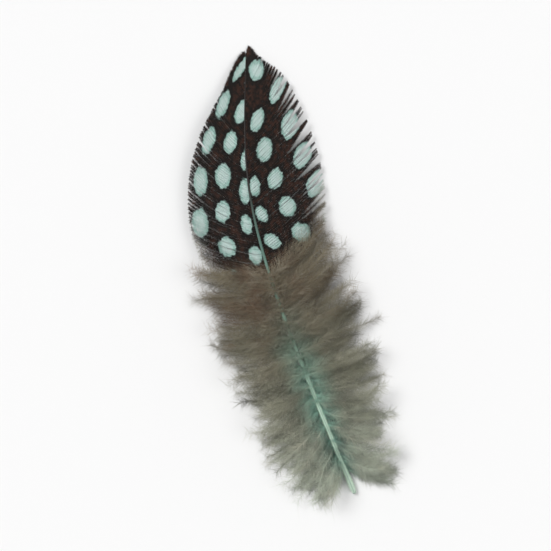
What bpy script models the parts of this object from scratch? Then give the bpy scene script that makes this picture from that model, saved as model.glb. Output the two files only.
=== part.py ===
"""A guinea fowl's body feather, lying on a table with its spotted side up.

The feather grew as one piece, so it is one solid: a curved shaft, a thin closed vane round the
upper half of the shaft, and soft tapering locks of down along the lower half. The shaft runs
roughly along +Y, from the quill's end to the tip. The table is the plane Z = 0.
"""

import math
from typing import NamedTuple

import bmesh
import bpy
import numpy as np
from mathutils import Matrix, Vector
from mathutils.geometry import interpolate_bezier

MM = 0.001
SAME_POINT = 0.001 * MM

# The shaft's centreline is one Bezier curve in plan and in height.
QUILL_END = Vector((4.55, -36.6, 0.55)) * MM
TIP = Vector((3.35, 35.6, 0.4)) * MM
QUILL_HANDLE = Vector((-3.45, 9.6, 6.4)) * MM
TIP_HANDLE = Vector((-2.45, 12.6, 5.2)) * MM
CENTRELINE_POINTS = 161

# The shaft is thickest where it leaves the skin and runs out to a hair.
QUILL_RADIUS = 0.56 * MM
QUILL_POINT_RADIUS = 0.30 * MM
SHAFT_TIP_RADIUS = 0.16 * MM
QUILL_POINT_LENGTH = 1.6 * MM
SHAFT_SIDES = 8
SHAFT_STATIONS = 30

# The vane: barbs that leave both sides of the shaft, lean towards the tip and part into groups.
VANE_START = 37.0 * MM
VANE_END_SHARE = 0.99
VANE_THICKNESS = 0.5 * MM
VANE_HALF_WIDTH = 12.0 * MM
VANE_CLEARANCE = 0.25 * MM
VANE_ARCH = 0.85
VANE_ROWS = 29
VANE_STEPS = 6
BARB_BEND = 22.0
BARB_START_SHARE = 0.12
BARB_END_SHARE = 0.06
GATHERING = 0.16
PARTED_FROM = 0.5

# The down: locks in an upper layer that rises and a lower layer that lies on the table.
DOWN_START = 5.5 * MM
DOWN_END = 37.0 * MM
LOCKS_PER_LAYER = 13
LOCK_STATIONS = 7
LOCK_SIDES = 6
LOCK_WIDTH = 3.9 * MM
LOCK_HEIGHT = 2.5 * MM
LOCK_ROOT_SHARE = 0.09
LOCK_TIP_SHARE = 0.975
LOCK_ROUNDNESS = 0.8
LOCK_LENGTH_AT_QUILL = 9.2 * MM
LOCK_LENGTH_AT_VANE = 13.2 * MM
LOCK_ANGLE_AT_QUILL = 133.0
LOCK_ANGLE_AT_VANE = 64.0
LOCK_ANGLE_FALL = 1.5
LOCK_CURL = 24.0
UPPER_LIFT_AT_QUILL = 38.0
UPPER_LIFT_AT_VANE = 18.0
UPPER_DROOP = 66.0
LOWER_LIFT = 2.0
LOWER_DROOP = 36.0
LENGTH_SCATTER = 0.12
ANGLE_SCATTER = 5.0
LIFT_SCATTER = 7.0
WIDTH_SCATTER = 0.14
GOLDEN_TURN = 0.618034
SILVER_TURN = 0.414214
UPPER_SEED = 7
RIGHT_SEED = 3

TABLE_SIZE = 200.0 * MM
FEATHER_COLOUR = (0.16, 0.13, 0.11, 1.0)
FEATHER_ROUGHNESS = 0.75


def centreline():
    """The shaft's points and their distances along it from the quill's end."""
    points = np.array(interpolate_bezier(QUILL_END, QUILL_HANDLE, TIP_HANDLE, TIP, CENTRELINE_POINTS))
    steps = np.linalg.norm(np.diff(points, axis=0), axis=1)
    return points, np.concatenate([[0.0], np.cumsum(steps)])


CENTRE_POINTS, CENTRE_DISTANCES = centreline()
SHAFT_LENGTH = float(CENTRE_DISTANCES[-1])


def shaft_point(distance):
    """The centreline's point at a distance from the quill's end, straight on past either end."""
    inside = min(max(distance, 0.0), SHAFT_LENGTH)
    point = Vector([np.interp(inside, CENTRE_DISTANCES, CENTRE_POINTS[:, k]) for k in range(3)])
    return point + shaft_forward(inside) * (distance - inside)


def shaft_forward(distance):
    """The centreline's direction at a distance from the quill's end, towards the tip."""
    step = SHAFT_LENGTH / CENTRELINE_POINTS
    low = min(max(distance - step, 0.0), SHAFT_LENGTH - 2 * step)
    ends = [
        Vector([np.interp(at, CENTRE_DISTANCES, CENTRE_POINTS[:, k]) for k in range(3)])
        for at in (low, low + 2 * step)
    ]
    return (ends[1] - ends[0]).normalized()


def shaft_right(distance):
    """The level direction across the shaft, to the right of someone looking towards the tip."""
    return shaft_forward(distance).cross(Vector((0, 0, 1))).normalized()


def ring_matrix(centre, forward, right, half_width, half_height):
    """Places a unit circle square to forward, as an ellipse of these half sizes."""
    up = right.cross(forward).normalized()
    axes = Matrix((right * half_width, up * half_height, forward)).transposed().to_4x4()
    return Matrix.Translation(centre) @ axes


def bridged_tube(rings, sides):
    """A closed tube through ellipses, each given by its matrix."""
    bm = bmesh.new()
    loops = []
    for matrix in rings:
        made = bmesh.ops.create_circle(bm, segments=sides, radius=1.0, matrix=matrix)
        loops.append(list({edge for vert in made["verts"] for edge in vert.link_edges}))
    for first, second in zip(loops, loops[1:]):
        bmesh.ops.bridge_loops(bm, edges=first + second)
    bmesh.ops.holes_fill(bm, edges=loops[0] + loops[-1], sides=sides)
    bmesh.ops.triangulate(bm, faces=bm.faces)
    bmesh.ops.recalc_face_normals(bm, faces=bm.faces)
    return bm


def object_from(bm, name):
    """Hands the bmesh over to a new object in the scene."""
    mesh = bpy.data.meshes.new(name)
    for face in bm.faces:
        face.smooth = True
    bm.to_mesh(mesh)
    bm.free()
    made = bpy.data.objects.new(name, mesh)
    bpy.context.scene.collection.objects.link(made)
    return made


def shaft_radius(distance):
    """The shaft's radius: a blunt point at the quill's end, then an even taper to the tip."""
    share = distance / SHAFT_LENGTH
    body = QUILL_RADIUS + (SHAFT_TIP_RADIUS - QUILL_RADIUS) * share
    blunt = min(distance / QUILL_POINT_LENGTH, 1.0)
    return QUILL_POINT_RADIUS + (body - QUILL_POINT_RADIUS) * math.sin(blunt * math.pi / 2)


def build_shaft():
    """Quill and rachis, one tapering rod."""
    near_quill = [0.0, QUILL_POINT_LENGTH / 2]
    rest = np.linspace(QUILL_POINT_LENGTH, SHAFT_LENGTH, SHAFT_STATIONS)
    rings = []
    for distance in [*near_quill, *rest]:
        radius = shaft_radius(distance)
        forward, right = shaft_forward(distance), shaft_right(distance)
        rings.append(ring_matrix(shaft_point(distance), forward, right, radius, radius))
    return object_from(bridged_tube(rings, SHAFT_SIDES), "shaft")


class VaneSide(NamedTuple):
    """How the barbs of one side of the vane grow. Angles are from the shaft's direction, in degrees."""

    side: int
    longest: float
    rise: float
    fall: float
    base_angle: float
    tip_angle: float
    group_rows: int


LEFT_SIDE = VaneSide(-1, 12.1 * MM, 0.42, 1.27, 63.0, 22.0, 6)
RIGHT_SIDE = VaneSide(1, 14.6 * MM, 0.5, 0.95, 66.0, 16.0, 5)


def barb_length(share, vane_side):
    """How long a vane barb is, from how far up the vane its root is, 0 to 1."""

    def shape(at):
        return (at + BARB_START_SHARE) ** vane_side.rise * (1 + BARB_END_SHARE - at) ** vane_side.fall

    return vane_side.longest * shape(share) / max(shape(at) for at in np.linspace(0, 1, 101))


def vane_surface(distance, across):
    """A point on the vane, by its distance along the shaft and its distance across from it."""
    level = shaft_point(distance) + shaft_right(distance) * across
    crown = max(shaft_point(distance).z, VANE_CLEARANCE)
    fall = VANE_ARCH * min((across / VANE_HALF_WIDTH) ** 2, 1.0)
    level.z = VANE_CLEARANCE + (crown - VANE_CLEARANCE) * (1 - fall)
    return level


def vane_barb(share, vane_side):
    """The points of one barb, from the shaft out to the vane's edge."""
    angle = vane_side.base_angle + (vane_side.tip_angle - vane_side.base_angle) * share
    step = barb_length(share, vane_side) / VANE_STEPS
    distance, across = VANE_START + (SHAFT_LENGTH - VANE_START) * share, 0.0
    points = [vane_surface(distance, across)]
    for k in range(VANE_STEPS):
        heading = math.radians(angle + BARB_BEND * (0.5 - (k + 0.5) / VANE_STEPS))
        distance += step * math.cos(heading)
        across += step * math.sin(heading) * vane_side.side
        points.append(vane_surface(distance, across))
    return points


def gathered_barb(share, middle_share, vane_side):
    """One barb whose outer part is drawn towards the middle barb of its group."""
    points = vane_barb(share, vane_side)
    for k, middle in enumerate(vane_barb(middle_share, vane_side)):
        loose = max(k / VANE_STEPS - PARTED_FROM, 0.0) / (1 - PARTED_FROM)
        points[k] = points[k].lerp(middle, GATHERING * loose)
    return points


def build_vane():
    """The closed vane: both sides' groups of barbs as one sheet with an even thickness."""
    bm = bmesh.new()
    shares = np.linspace(0, VANE_END_SHARE, VANE_ROWS)
    for vane_side in (LEFT_SIDE, RIGHT_SIDE):
        for row, pair in enumerate(zip(shares, shares[1:])):
            first = row - row % vane_side.group_rows
            last = min(first + vane_side.group_rows, VANE_ROWS - 1)
            middle = (shares[first] + shares[last]) / 2
            edges = []
            for share in pair:
                verts = [bm.verts.new(point) for point in gathered_barb(share, middle, vane_side)]
                edges += [bm.edges.new(ends) for ends in zip(verts, verts[1:])]
            bmesh.ops.bridge_loops(bm, edges=edges)
    bmesh.ops.remove_doubles(bm, verts=bm.verts, dist=SAME_POINT)
    bmesh.ops.recalc_face_normals(bm, faces=bm.faces)
    vane = object_from(bm, "vane")
    thicken = vane.modifiers.new("thickness", "SOLIDIFY")
    thicken.thickness = VANE_THICKNESS
    thicken.offset = 0.0
    return vane


def scatter(number, side, upper, turn):
    """An evenly scattered number from -1 to 1, the same for the same lock each time."""
    seed = number + (UPPER_SEED if upper else 0) + (RIGHT_SEED if side > 0 else 0)
    return 2 * ((seed * turn) % 1.0) - 1


def lock_axis(number, side, upper):
    """The points of one lock's middle line, from the shaft out to its tip."""
    share = (number + (0.5 if upper else 0.0)) / (LOCKS_PER_LAYER - 0.5)
    first, second = (scatter(number, side, upper, turn) for turn in (GOLDEN_TURN, SILVER_TURN))
    distance = DOWN_START + (DOWN_END - DOWN_START) * share
    length = LOCK_LENGTH_AT_QUILL + (LOCK_LENGTH_AT_VANE - LOCK_LENGTH_AT_QUILL) * math.sqrt(share)
    length *= 1 + LENGTH_SCATTER * first
    angle = LOCK_ANGLE_AT_VANE + (LOCK_ANGLE_AT_QUILL - LOCK_ANGLE_AT_VANE) * (1 - share) ** LOCK_ANGLE_FALL
    angle += ANGLE_SCATTER * second
    upper_lift = UPPER_LIFT_AT_QUILL + (UPPER_LIFT_AT_VANE - UPPER_LIFT_AT_QUILL) * share
    lift, droop = (upper_lift + LIFT_SCATTER * second, UPPER_DROOP) if upper else (LOWER_LIFT, LOWER_DROOP)
    forward, right = shaft_forward(distance), shaft_right(distance) * side
    forward.z = 0.0
    forward.normalize()
    point, points, step = shaft_point(distance), [], length / (LOCK_STATIONS - 1)
    for k in range(LOCK_STATIONS):
        points.append(point.copy())
        along = (k + 0.5) / (LOCK_STATIONS - 1)
        heading = math.radians(angle + LOCK_CURL * (0.5 - along))
        rise = math.radians(lift - droop * along)
        level = forward * math.cos(heading) + right * math.sin(heading)
        point += (level * math.cos(rise) + Vector((0, 0, math.sin(rise)))) * step
    return points


def lock_fullness(along):
    """A lock's thickness along its length, 1 at its fullest: narrow at the root, pointed at the tip."""
    return math.sin(math.pi * (LOCK_ROOT_SHARE + (LOCK_TIP_SHARE - LOCK_ROOT_SHARE) * along)) ** LOCK_ROUNDNESS


def build_lock(number, side, upper):
    """One tapering, slightly flattened lock of down."""
    points = lock_axis(number, side, upper)
    width = LOCK_WIDTH * (1 + WIDTH_SCATTER * scatter(number, side, upper, SILVER_TURN))
    rings = []
    for k, point in enumerate(points):
        forward = (points[min(k + 1, len(points) - 1)] - points[max(k - 1, 0)]).normalized()
        across = forward.cross(Vector((0, 0, 1))).normalized()
        half = lock_fullness(k / (len(points) - 1)) / 2
        rings.append(ring_matrix(point, forward, across, width * half, LOCK_HEIGHT * half))
    layer = "upper" if upper else "lower"
    hand = "right" if side > 0 else "left"
    return object_from(bridged_tube(rings, LOCK_SIDES), f"{layer}_{hand}_lock_{number}")


def hide_helper(helper):
    """Marks a shape that only helps to make another."""
    helper.hide_render = True
    helper.display_type = "WIRE"


def join_into(target, others):
    """Fuses the other shapes into the target, which stays one closed body."""
    group = bpy.data.collections.new("grown_together")
    bpy.context.scene.collection.children.link(group)
    for other in others:
        bpy.context.scene.collection.objects.unlink(other)
        group.objects.link(other)
        hide_helper(other)
    union = target.modifiers.new("grown_together", "BOOLEAN")
    union.operation = "UNION"
    union.operand_type = "COLLECTION"
    union.collection = group
    union.solver = "EXACT"
    union.use_self = True


def rest_on_table(feather):
    """Flattens what the table presses: everything under Z = 0 is cut away."""
    bm = bmesh.new()
    bmesh.ops.create_cube(bm, size=TABLE_SIZE, matrix=Matrix.Translation((0, 0, -TABLE_SIZE / 2)))
    table = object_from(bm, "table")
    hide_helper(table)
    cut = feather.modifiers.new("table", "BOOLEAN")
    cut.operation = "DIFFERENCE"
    cut.object = table
    cut.solver = "EXACT"


def feather_material():
    """The feather's own colour, between the dark vane and the grey-brown down."""
    material = bpy.data.materials.new("feather")
    material.use_nodes = True
    shader = material.node_tree.nodes["Principled BSDF"]
    shader.inputs["Base Color"].default_value = FEATHER_COLOUR
    shader.inputs["Roughness"].default_value = FEATHER_ROUGHNESS
    return material


def main():
    for old in list(bpy.data.objects):
        bpy.data.objects.remove(old)
    feather = build_shaft()
    feather.name = "feather"
    locks = [
        build_lock(number, side, upper)
        for upper in (False, True)
        for side in (-1, 1)
        for number in range(LOCKS_PER_LAYER)
    ]
    join_into(feather, [build_vane(), *locks])
    rest_on_table(feather)
    feather.data.materials.append(feather_material())


main()
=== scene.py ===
"""A guinea fowl's body feather: pale shaft, dark spotted vane and barbed grey-brown down.

The shaft runs roughly along +Y from the quill's end to the tip, and the feather lies on the plane
Z = 0 with its spotted side up. Sizes in the classes are in millimetres and degrees, and each
barb follows the same rule of growth as the solid it stands for.
"""

import logging
import math
from dataclasses import dataclass
from enum import Enum

import bmesh
import bpy
import numpy as np
from mathutils import Matrix, Vector
from mathutils.geometry import interpolate_bezier


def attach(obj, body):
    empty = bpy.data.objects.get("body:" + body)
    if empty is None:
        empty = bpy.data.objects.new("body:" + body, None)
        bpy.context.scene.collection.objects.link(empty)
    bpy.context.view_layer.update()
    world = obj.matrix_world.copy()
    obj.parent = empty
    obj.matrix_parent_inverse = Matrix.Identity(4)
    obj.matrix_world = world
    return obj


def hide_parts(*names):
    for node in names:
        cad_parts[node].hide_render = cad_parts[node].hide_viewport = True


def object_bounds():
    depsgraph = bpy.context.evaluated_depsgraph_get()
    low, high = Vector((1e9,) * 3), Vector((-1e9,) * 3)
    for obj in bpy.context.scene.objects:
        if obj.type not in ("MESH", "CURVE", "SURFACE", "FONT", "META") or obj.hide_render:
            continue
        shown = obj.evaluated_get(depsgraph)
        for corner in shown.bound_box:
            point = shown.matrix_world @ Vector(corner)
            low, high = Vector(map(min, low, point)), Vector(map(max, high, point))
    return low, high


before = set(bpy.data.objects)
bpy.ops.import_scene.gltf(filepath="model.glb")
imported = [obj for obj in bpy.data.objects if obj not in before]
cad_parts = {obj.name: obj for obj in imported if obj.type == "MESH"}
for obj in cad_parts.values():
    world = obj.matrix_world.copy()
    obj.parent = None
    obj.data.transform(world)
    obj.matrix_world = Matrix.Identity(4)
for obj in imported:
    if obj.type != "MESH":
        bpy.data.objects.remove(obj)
CAD_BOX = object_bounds()

MM = 0.001
UV_NAME = "OFBake"
UP = np.array([0.0, 0.0, 1.0])

# Steps whose multiples scatter evenly: two as shares of a turn, and one in radians.
GOLDEN_SHARE = 0.618034
SILVER_SHARE = 0.414214
GOLDEN_ANGLE = 2.39996

Pair = tuple[float, float]

log = logging.getLogger("feather")


class Side(Enum):
    """Which side of the shaft a barb grows on, seen from above with the tip away."""

    LEFT = -1
    RIGHT = 1


class Layer(Enum):
    """Which of the two layers of down a lock belongs to."""

    LOWER = 0
    UPPER = 1


def unit(vectors: np.ndarray) -> np.ndarray:
    """Scales vectors along the last axis to length 1."""
    return vectors / np.maximum(np.linalg.norm(vectors, axis=-1, keepdims=True), 1e-12)


def ramp(values: np.ndarray, start: float, end: float) -> np.ndarray:
    """Rises smoothly from 0 at start to 1 at end.

    Args:
        values: Where to read the ramp.
        start: The value up to which it stays 0.
        end: The value from which it stays 1.

    Returns:
        The ramp's height at each value.
    """
    along = np.clip((values - start) / (end - start), 0.0, 1.0)
    return along * along * (3 - 2 * along)


def between(ends: Pair, share: np.ndarray) -> np.ndarray:
    """Goes evenly from the first of two values to the second as the share goes from 0 to 1."""
    return ends[0] + (ends[1] - ends[0]) * share


def beside(ahead: np.ndarray, level: np.ndarray) -> tuple[np.ndarray, np.ndarray]:
    """The directions square to a path.

    Args:
        ahead: The path's direction at each place.
        level: The direction that counts as up there.

    Returns:
        The direction across the path and the one up from it.
    """
    across = unit(np.cross(ahead, level))
    return across, unit(np.cross(across, ahead))


def laid(points: np.ndarray, low: float = 0.02, soft: float = 0.3) -> np.ndarray:
    """Lays whatever would sink into the table on it.

    Args:
        points: Points in millimetres.
        low: The height that nothing goes below.
        soft: How far above that height the points start to give way.

    Returns:
        The points, with those near the table or below it moved up.
    """
    height = points[..., 2]
    pressed = low + soft * np.exp(np.minimum(height - low - soft, 0.0) / soft)
    height = np.where(height < low + soft, pressed, height)
    return np.concatenate([points[..., :2], height[..., None]], axis=-1)


def read_along(values: np.ndarray, row: np.ndarray, share: np.ndarray) -> np.ndarray:
    """Reads values that are given at even stations of many rows, in between the stations.

    Args:
        values: Values by row and station, with any axes after those.
        row: Which row to read.
        share: How far along the row to read, 0 to 1.

    Returns:
        The value at each place.
    """
    place = np.clip(share, 0.0, 1.0) * (values.shape[1] - 1)
    low = np.minimum(place.astype(int), values.shape[1] - 2)
    part = (place - low).reshape(-1, *[1] * (values.ndim - 2))
    return values[row, low] * (1 - part) + values[row, low + 1] * part


def ahead_along(paths: np.ndarray, row: np.ndarray, share: np.ndarray, by: float) -> np.ndarray:
    """The direction of paths in between their stations.

    Args:
        paths: Points by path and station.
        row: Which path to read.
        share: How far along the path to read, 0 to 1.
        by: How far before and after that the path is read.

    Returns:
        The direction at each place.
    """
    return unit(read_along(paths, row, np.minimum(share + by, 1.0)) - read_along(paths, row, share - by))


def spaced(counts: np.ndarray) -> tuple[np.ndarray, np.ndarray]:
    """Even places along rows.

    Args:
        counts: How many places each row has.

    Returns:
        Each place's row, and how far along the row it is, 0 to 1.
    """
    shares = np.concatenate([(np.arange(count) + 0.5) / count for count in counts])
    return np.repeat(np.arange(len(counts)), counts), shares


# How things grow: the shaft's line and strands along paths.


@dataclass(frozen=True)
class ShaftPath:
    """The centreline that everything grows from: one Bezier curve in plan and in height."""

    quill_end: tuple[float, float, float] = (4.55, -36.6, 0.55)
    quill_handle: tuple[float, float, float] = (-3.45, 9.6, 6.4)
    tip_handle: tuple[float, float, float] = (-2.45, 12.6, 5.2)
    tip: tuple[float, float, float] = (3.35, 35.6, 0.4)
    count: int = 161

    def __post_init__(self) -> None:
        """Works out the curve's points and their distances once."""
        ends = [Vector(point) for point in (self.quill_end, self.quill_handle, self.tip_handle, self.tip)]
        points = np.array(interpolate_bezier(*ends, self.count))
        steps = np.linalg.norm(np.diff(points, axis=0), axis=1)
        object.__setattr__(self, "points", points)
        object.__setattr__(self, "distances", np.concatenate([[0.0], np.cumsum(steps)]))

    @property
    def length(self) -> float:
        """The shaft's length from the quill's end to the tip."""
        return float(self.distances[-1])

    def _inside(self, distance: np.ndarray) -> np.ndarray:
        """Reads the curve between its ends."""
        return np.stack([np.interp(distance, self.distances, self.points[:, k]) for k in range(3)], axis=-1)

    def forward(self, distance: np.ndarray) -> np.ndarray:
        """The direction towards the tip.

        Args:
            distance: Distances from the quill's end.

        Returns:
            The direction at each of them.
        """
        step = self.length / self.count
        low = np.clip(distance - step, 0.0, self.length - 2 * step)
        return unit(self._inside(low + 2 * step) - self._inside(low))

    def point(self, distance: np.ndarray) -> np.ndarray:
        """The centreline's point at each distance, straight on past either end."""
        inside = np.clip(distance, 0.0, self.length)
        return self._inside(inside) + self.forward(inside) * (distance - inside)[..., None]

    def right(self, distance: np.ndarray) -> np.ndarray:
        """The level direction across the shaft at each distance."""
        return unit(np.cross(self.forward(distance), UP))

    def gap(self, points: np.ndarray) -> np.ndarray:
        """How far each point lies from the centreline, seen from above."""
        return np.linalg.norm(points[:, None, :2] - self.points[None, :, :2], axis=-1).min(axis=1)


PATH = ShaftPath()


@dataclass(frozen=True)
class Strand:
    """One thin pointed strand of unit size along +Z, modelled once and repeated along many paths."""

    stations: int
    sides: int = 3

    def template(self) -> tuple[np.ndarray, np.ndarray, np.ndarray]:
        """Models the strand.

        Returns:
            The station of each vertex, its offset across and up, and the triangles.
        """
        bm = bmesh.new()
        ring = bmesh.ops.create_circle(bm, cap_ends=True, segments=self.sides, radius=1.0)["verts"]
        for _ in range(1, self.stations):
            rim = [edge for edge in bm.edges if all(vert in ring for vert in edge.verts)]
            grown = bmesh.ops.extrude_edge_only(bm, edges=rim)["geom"]
            ring = [item for item in grown if isinstance(item, bmesh.types.BMVert)]
            bmesh.ops.translate(bm, verts=ring, vec=(0, 0, 1))
        bmesh.ops.pointmerge(bm, verts=ring, merge_co=(0, 0, self.stations - 1))
        bmesh.ops.triangulate(bm, faces=bm.faces)
        bmesh.ops.recalc_face_normals(bm, faces=bm.faces)
        bm.verts.index_update()
        points = np.array([vert.co for vert in bm.verts])
        triangles = np.array([[vert.index for vert in face.verts] for face in bm.faces])
        bm.free()
        return np.rint(points[:, 2]).astype(int), points[:, :2], triangles


@dataclass
class Growth:
    """Strands of one kind, grown along paths, with a pattern coordinate at every vertex."""

    points: np.ndarray
    triangles: np.ndarray
    pattern: np.ndarray

    @classmethod
    def along(
        cls,
        strand: Strand,
        paths: np.ndarray,
        level: np.ndarray,
        half_width: np.ndarray,
        half_height: np.ndarray,
        pattern: np.ndarray,
        pattern_width: np.ndarray,
    ) -> "Growth":
        """Repeats a strand along paths.

        Args:
            strand: The strand to repeat.
            paths: The points of each path, one at each of the strand's stations.
            level: The direction that each strand's flat side faces, at each station.
            half_width: Half the strand's width at each station.
            half_height: Half its height at each station.
            pattern: The pattern coordinate at each station.
            pattern_width: How far the pattern coordinate moves across half the width.

        Returns:
            All the strands as one growth.
        """
        station, offset, faces = strand.template()
        ahead = np.gradient(paths, axis=1)
        across, upward = beside(ahead, level)
        wide = (half_width[:, station] * offset[:, 0])[..., None]
        high = (half_height[:, station] * offset[:, 1])[..., None]
        points = laid(paths[:, station] + across[:, station] * wide + upward[:, station] * high)
        starts = (np.arange(len(paths)) * len(station))[:, None, None]
        mapped = pattern[:, station] + pattern_width * offset[None, :, :1]
        return cls(points.reshape(-1, 3), (faces[None] + starts).reshape(-1, 3), mapped.reshape(-1, 2))

    @classmethod
    def joined(cls, parts: list["Growth"]) -> "Growth":
        """Joins several growths into one.

        Args:
            parts: The growths.

        Returns:
            One growth with all their strands.
        """
        starts = np.cumsum([0] + [len(part.points) for part in parts[:-1]])
        return cls(
            np.concatenate([part.points for part in parts]),
            np.concatenate([part.triangles + start for part, start in zip(parts, starts)]),
            np.concatenate([part.pattern for part in parts]),
        )

    def piece(self, name: str, material: bpy.types.Material) -> bpy.types.Object:
        """Makes the growth a piece of the feather.

        Args:
            name: The piece's name.
            material: Its finish.

        Returns:
            The new object.
        """
        mesh = bpy.data.meshes.new(name)
        mesh.from_pydata(self.points * MM, [], self.triangles)
        layer = mesh.uv_layers.new(name=UV_NAME)
        layer.data.foreach_set("uv", self.pattern[self.triangles.reshape(-1)].astype(np.float32).reshape(-1))
        mesh.shade_smooth()
        return dressed(bpy.data.objects.new(name, mesh), material)


def dressed(piece: bpy.types.Object, material: bpy.types.Material) -> bpy.types.Object:
    """Gives a piece its finish and fastens it to the frame.

    Args:
        piece: The piece.
        material: Its finish.

    Returns:
        The same piece.
    """
    bpy.context.scene.collection.objects.link(piece)
    piece.data.materials.append(material)
    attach(piece, "root")
    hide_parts("feather")
    log.info("%s: %d faces", piece.name, len(piece.data.polygons))
    return piece


# Sums for the finishes, written as expressions.


class Term:
    """A number that a shader works out. Python's operators on it add the Math nodes."""

    def __init__(self, sheet: "Sheet", socket: bpy.types.NodeSocket) -> None:
        """Wraps a socket of the sheet's node tree."""
        self.sheet = sheet
        self.socket = socket

    def _with(self, operation: str, *values: object) -> "Term":
        """Adds one Math node."""
        return self.sheet.node("ShaderNodeMath", {"operation": operation}, dict(enumerate(values)))

    def __add__(self, other: object) -> "Term":
        """Adds."""
        return self._with("ADD", self, other)

    def __radd__(self, other: object) -> "Term":
        """Adds to a plain number."""
        return self._with("ADD", other, self)

    def __sub__(self, other: object) -> "Term":
        """Subtracts."""
        return self._with("SUBTRACT", self, other)

    def __rsub__(self, other: object) -> "Term":
        """Subtracts from a plain number."""
        return self._with("SUBTRACT", other, self)

    def __mul__(self, other: object) -> "Term":
        """Multiplies."""
        return self._with("MULTIPLY", self, other)

    def __rmul__(self, other: object) -> "Term":
        """Multiplies a plain number."""
        return self._with("MULTIPLY", other, self)

    def __truediv__(self, other: object) -> "Term":
        """Divides."""
        return self._with("DIVIDE", self, other)

    def __pow__(self, other: object) -> "Term":
        """Raises to a power."""
        return self._with("POWER", self, other)

    def rounded(self) -> "Term":
        """The nearest whole number."""
        return self._with("ROUND", self)

    def least(self, other: object) -> "Term":
        """The smaller of the two."""
        return self._with("MINIMUM", self, other)

    def most(self, other: object) -> "Term":
        """The larger of the two."""
        return self._with("MAXIMUM", self, other)

    def step(self, start: float, end: float) -> "Term":
        """Rises smoothly from 0 to 1.

        Args:
            start: The number up to which it stays 0.
            end: The number from which it stays 1.

        Returns:
            The height there.
        """
        settings = {"interpolation_type": "SMOOTHSTEP"}
        sockets = {"Value": self, "From Min": start, "From Max": end}
        return self.sheet.node("ShaderNodeMapRange", settings, sockets)


class Sheet:
    """A material's node tree with its one shader."""

    def __init__(self, name: str) -> None:
        """Starts a material with a Principled shader.

        Args:
            name: The material's name.
        """
        self.material = bpy.data.materials.new(name)
        self.material.use_nodes = True
        self.tree = self.material.node_tree
        self.shader = self.tree.nodes["Principled BSDF"]

    def node(self, kind: str, settings: dict, sockets: dict, output: int | str = 0) -> Term:
        """Adds one node.

        Args:
            kind: The node's type.
            settings: Its own settings, set first.
            sockets: Values or terms for its inputs, by name or number.
            output: Which output to hand on.

        Returns:
            The output as a term.
        """
        made = self.tree.nodes.new(kind)
        for key, value in settings.items():
            setattr(made, key, value)
        for key, value in sockets.items():
            if isinstance(value, Term):
                self.tree.links.new(value.socket, made.inputs[key])
            else:
                made.inputs[key].default_value = value
        return Term(self, made.outputs[output])

    def pattern(self) -> tuple[Term, Term, Term]:
        """The piece's own pattern coordinates.

        Returns:
            The coordinate vector, and its two numbers.
        """
        coordinates = self.node("ShaderNodeUVMap", {"uv_map": UV_NAME}, {})
        parts = {"Vector": coordinates}
        first = self.node("ShaderNodeSeparateXYZ", {}, parts, "X")
        second = self.node("ShaderNodeSeparateXYZ", {}, parts, "Y")
        return coordinates, first, second

    def blend(self, factor: Term, first: object, second: object) -> Term:
        """Mixes two colours.

        Args:
            factor: 0 for the first colour, 1 for the second.
            first: Six hex digits or a term.
            second: Six hex digits or a term.

        Returns:
            The mixed colour.
        """
        first, second = (hex_colour(part) if isinstance(part, str) else part for part in (first, second))
        return self.node("ShaderNodeMix", {"data_type": "RGBA"}, {0: factor, 6: first, 7: second}, 2)

    def noise(self, vector: Term, scale: float, detail: float = 2.0) -> Term:
        """Soft noise from 0 to 1 that is even in every direction."""
        sockets = {"Vector": vector, "Scale": scale, "Detail": detail}
        return self.node("ShaderNodeTexNoise", {"noise_dimensions": "2D"}, sockets)

    def stretched(self, vector: Term, first: float, second: float) -> Term:
        """Scales the two pattern coordinates by different amounts."""
        return self.node("ShaderNodeMapping", {}, {"Vector": vector, "Scale": (first, second, 1.0)})

    def chance(self, number: Term) -> Term:
        """An unrelated number from 0 to 1 for every whole number."""
        return self.node("ShaderNodeTexWhiteNoise", {"noise_dimensions": "1D"}, {"W": number})

    def feed(self, **sockets: Term) -> None:
        """Links terms to the shader's sockets, such as Base_Color."""
        for key, term in sockets.items():
            self.tree.links.new(term.socket, self.shader.inputs[key.replace("_", " ")])

    def fix(self, **values: object) -> None:
        """Sets values that are the same all over on the shader's own sockets."""
        for key, value in values.items():
            self.shader.inputs[key.replace("_", " ")].default_value = value


def hex_colour(text: str) -> tuple[float, float, float, float]:
    """Turns a colour into a linear one.

    Args:
        text: Six hex digits, such as 8d8877.

    Returns:
        Red, green, blue and full opacity.
    """
    parts = [int(text[k : k + 2], 16) / 255 for k in (0, 2, 4)]
    linear = [part / 12.92 if part <= 0.04045 else ((part + 0.055) / 1.055) ** 2.4 for part in parts]
    return (*linear, 1.0)


# The finishes.


class Chance(Enum):
    """What differs by chance from spot to spot, each with its own place among the chances."""

    ALONG = 0.0
    ACROSS = 31.0
    SIZE = 67.0
    SLANT = 91.0


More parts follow.
